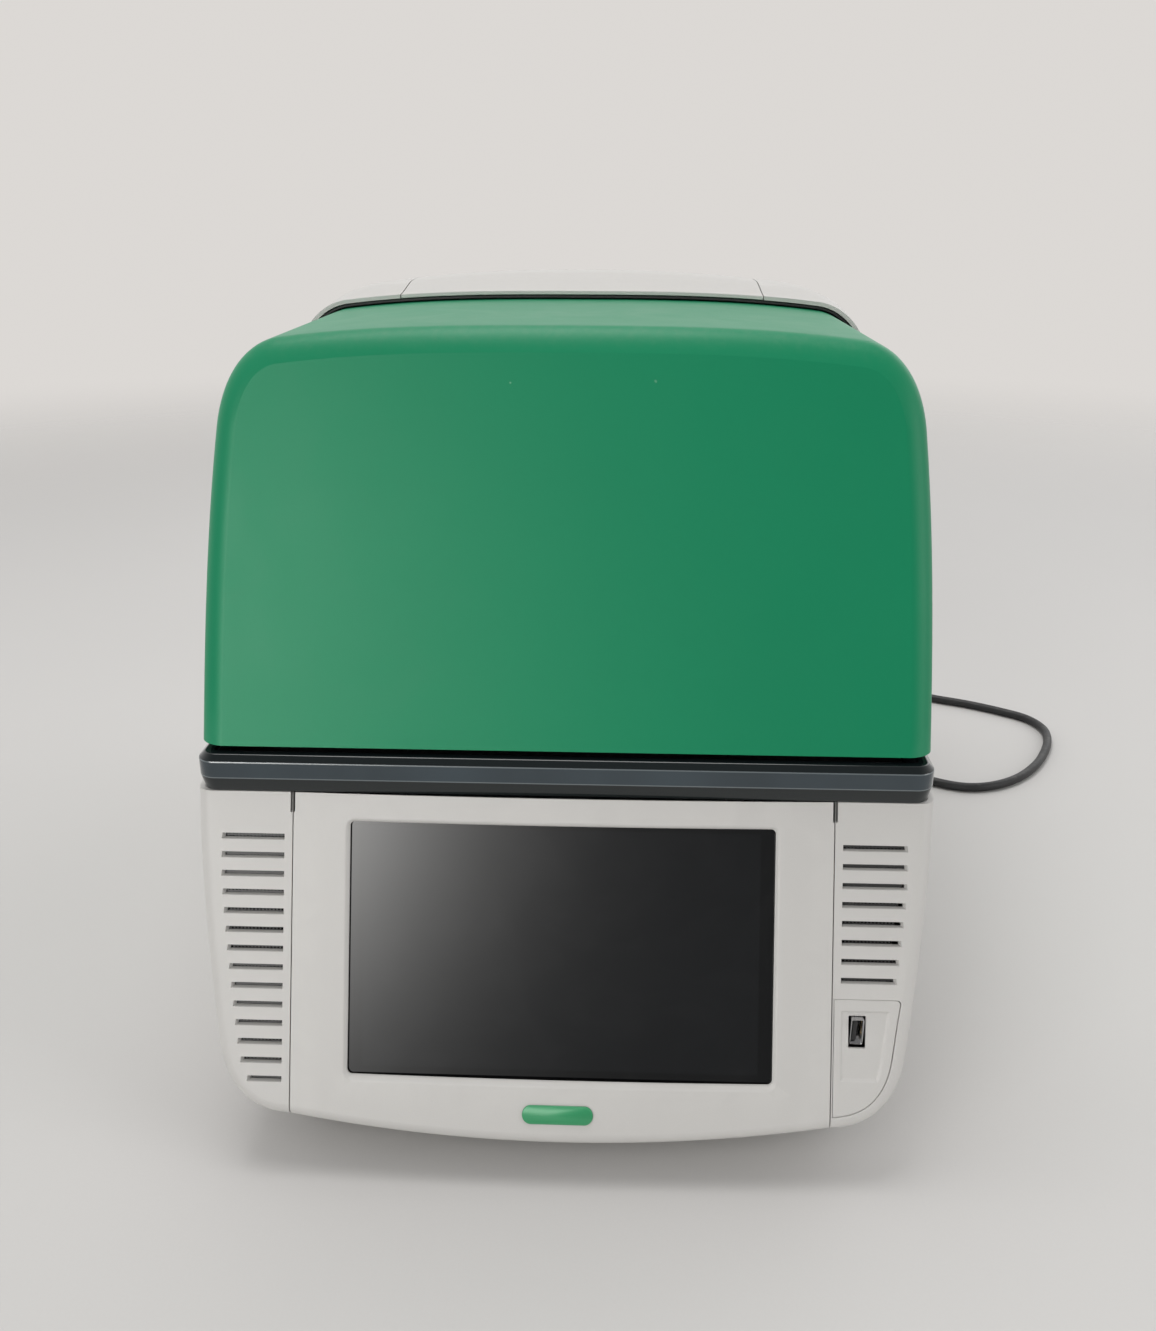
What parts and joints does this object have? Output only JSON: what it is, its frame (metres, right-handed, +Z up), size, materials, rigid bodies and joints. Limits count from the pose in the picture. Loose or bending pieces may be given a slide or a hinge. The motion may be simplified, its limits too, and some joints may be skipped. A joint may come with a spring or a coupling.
{
  "type": "thermal cycler",
  "caption": "Bench-top thermal cycler with a sliding optics lid, a rear hood, a touch display in a leaning front, side vents and a mains cord.",
  "frame": {"origin": "middle of the footprint on the bench, under the centre of the instrument without its free cord", "axes": "+Y from the front to the rear, +X to the instrument's right side as seen from the front, +Z up"},
  "size_m": [0.5671, 0.6575, 0.3725],
  "materials": {
    "cover_white": "warm light grey moulded plastic, satin",
    "hood_white": "light grey moulded plastic, satin",
    "lid_green": "green moulded plastic, satin",
    "smoke_band": "smoke blue-grey polished plastic",
    "dark_plastic": "dark grey plastic, matt",
    "black_plastic": "black plastic, matt",
    "display_glass": "black cover glass, glossy",
    "black_rubber": "black rubber, matt",
    "cord_black": "black flexible cord sheath, satin",
    "bright_steel": "bright steel",
    "zinc_sheet": "zinc-plated sheet steel",
    "vent_mesh": "dark perforated sheet",
    "aluminium": "machined aluminium",
    "ceramic_white": "white ceramic plates of the thermoelectric modules",
    "brass": "machined brass",
    "circuit_board": "green laminate with black chips"
  },
  "bodies": {
    "housing": {"badge_plate": "lid_green", "base_pan": "zinc_sheet", "base_shell": "cover_white", "block_frame": "dark_plastic", "chassis_wall_left": "zinc_sheet", "chassis_wall_right": "zinc_sheet", "cord_coil": "cord_black", "cord_connector": "cord_black", "cord_lead": "cord_black", "cord_tail": "cord_black", "deck_band": "smoke_band", "deck_plate": "dark_plastic", "display_glass": "display_glass", "display_module": "black_plastic", "fan_frame_left": "black_plastic", "fan_frame_right": "black_plastic", "foot_front_left": "black_rubber", "foot_front_right": "black_rubber", "foot_rear_left": "black_rubber", "foot_rear_right": "black_rubber", "front_bezel": "cover_white", "heat_sink": "aluminium", "hood_centre_panel": "hood_white", "hood_seal": "black_rubber", "hood_shell": "hood_white", "lid_motor": "black_plastic", "lid_rail_left": "bright_steel", "lid_rail_right": "bright_steel", "main_board": "circuit_board", "mains_plug": "cord_black", "network_socket": "bright_steel", "port_cover": "cover_white", "port_socket": "bright_steel", "power_inlet": "black_plastic", "power_supply": "zinc_sheet", "rear_panel": "zinc_sheet", "sample_block": "aluminium", "screw_bearing": "dark_plastic", "thermoelectric_plate": "ceramic_white", "vent_mesh_left": "vent_mesh", "vent_mesh_right": "vent_mesh"},
    "lid": {"lid_cover": "lid_green", "lid_tray": "dark_plastic", "lid_runner_left": "bright_steel", "lid_runner_right": "bright_steel", "drive_nut": "brass", "gantry_rod_left": "bright_steel", "gantry_rod_right": "bright_steel", "press_actuator": "black_plastic"},
    "press": {"heated_plate": "aluminium"},
    "gantry": {"gantry_beam": "aluminium"},
    "head": {"optics_head": "black_plastic"},
    "screw": {"drive_screw": "bright_steel"},
    "fan_left": {"fan_rotor_left": "black_plastic"},
    "fan_right": {"fan_rotor_right": "black_plastic"},
    "rocker": {"power_rocker": "black_plastic"},
    "drawer": {"fuse_drawer": "dark_plastic"}
  },
  "joints": [
    {"name": "lid_slide", "type": "slide", "parent": "housing", "child": "lid", "axis": [0, 1, 0], "range_m": [0, 0.145]},
    {"name": "press_slide", "type": "slide", "parent": "lid", "child": "press", "axis": [0, 0, -1], "range_m": [0, 0.01]},
    {"name": "gantry_slide", "type": "slide", "parent": "lid", "child": "gantry", "axis": [0, 1, 0], "range_m": [-0.032, 0.032]},
    {"name": "head_slide", "type": "slide", "parent": "gantry", "child": "head", "axis": [1, 0, 0], "range_m": [-0.048, 0.048]},
    {"name": "screw_turn", "type": "hinge", "parent": "housing", "child": "screw", "pos_m": [-0.12, 0, 0.185], "axis": [0, 1, 0], "range_deg": [0, 5225]},
    {"name": "fan_left_spin", "type": "hinge", "parent": "housing", "child": "fan_left", "pos_m": [-0.0425, 0.2437, 0.108], "axis": [0, 1, 0], "continuous": true},
    {"name": "fan_right_spin", "type": "hinge", "parent": "housing", "child": "fan_right", "pos_m": [0.0425, 0.2437, 0.108], "axis": [0, 1, 0], "continuous": true},
    {"name": "rocker_tilt", "type": "hinge", "parent": "housing", "child": "rocker", "pos_m": [0.118, 0.2583, 0.074], "axis": [1, 0, 0], "range_deg": [-8, 8]},
    {"name": "drawer_slide", "type": "slide", "parent": "housing", "child": "drawer", "axis": [0, 1, 0], "range_m": [0, 0.015]}
  ],
  "couplings": [
    {"joint": "screw_turn", "follows": "lid_slide", "rad_per_m": 628.32}
  ]
}
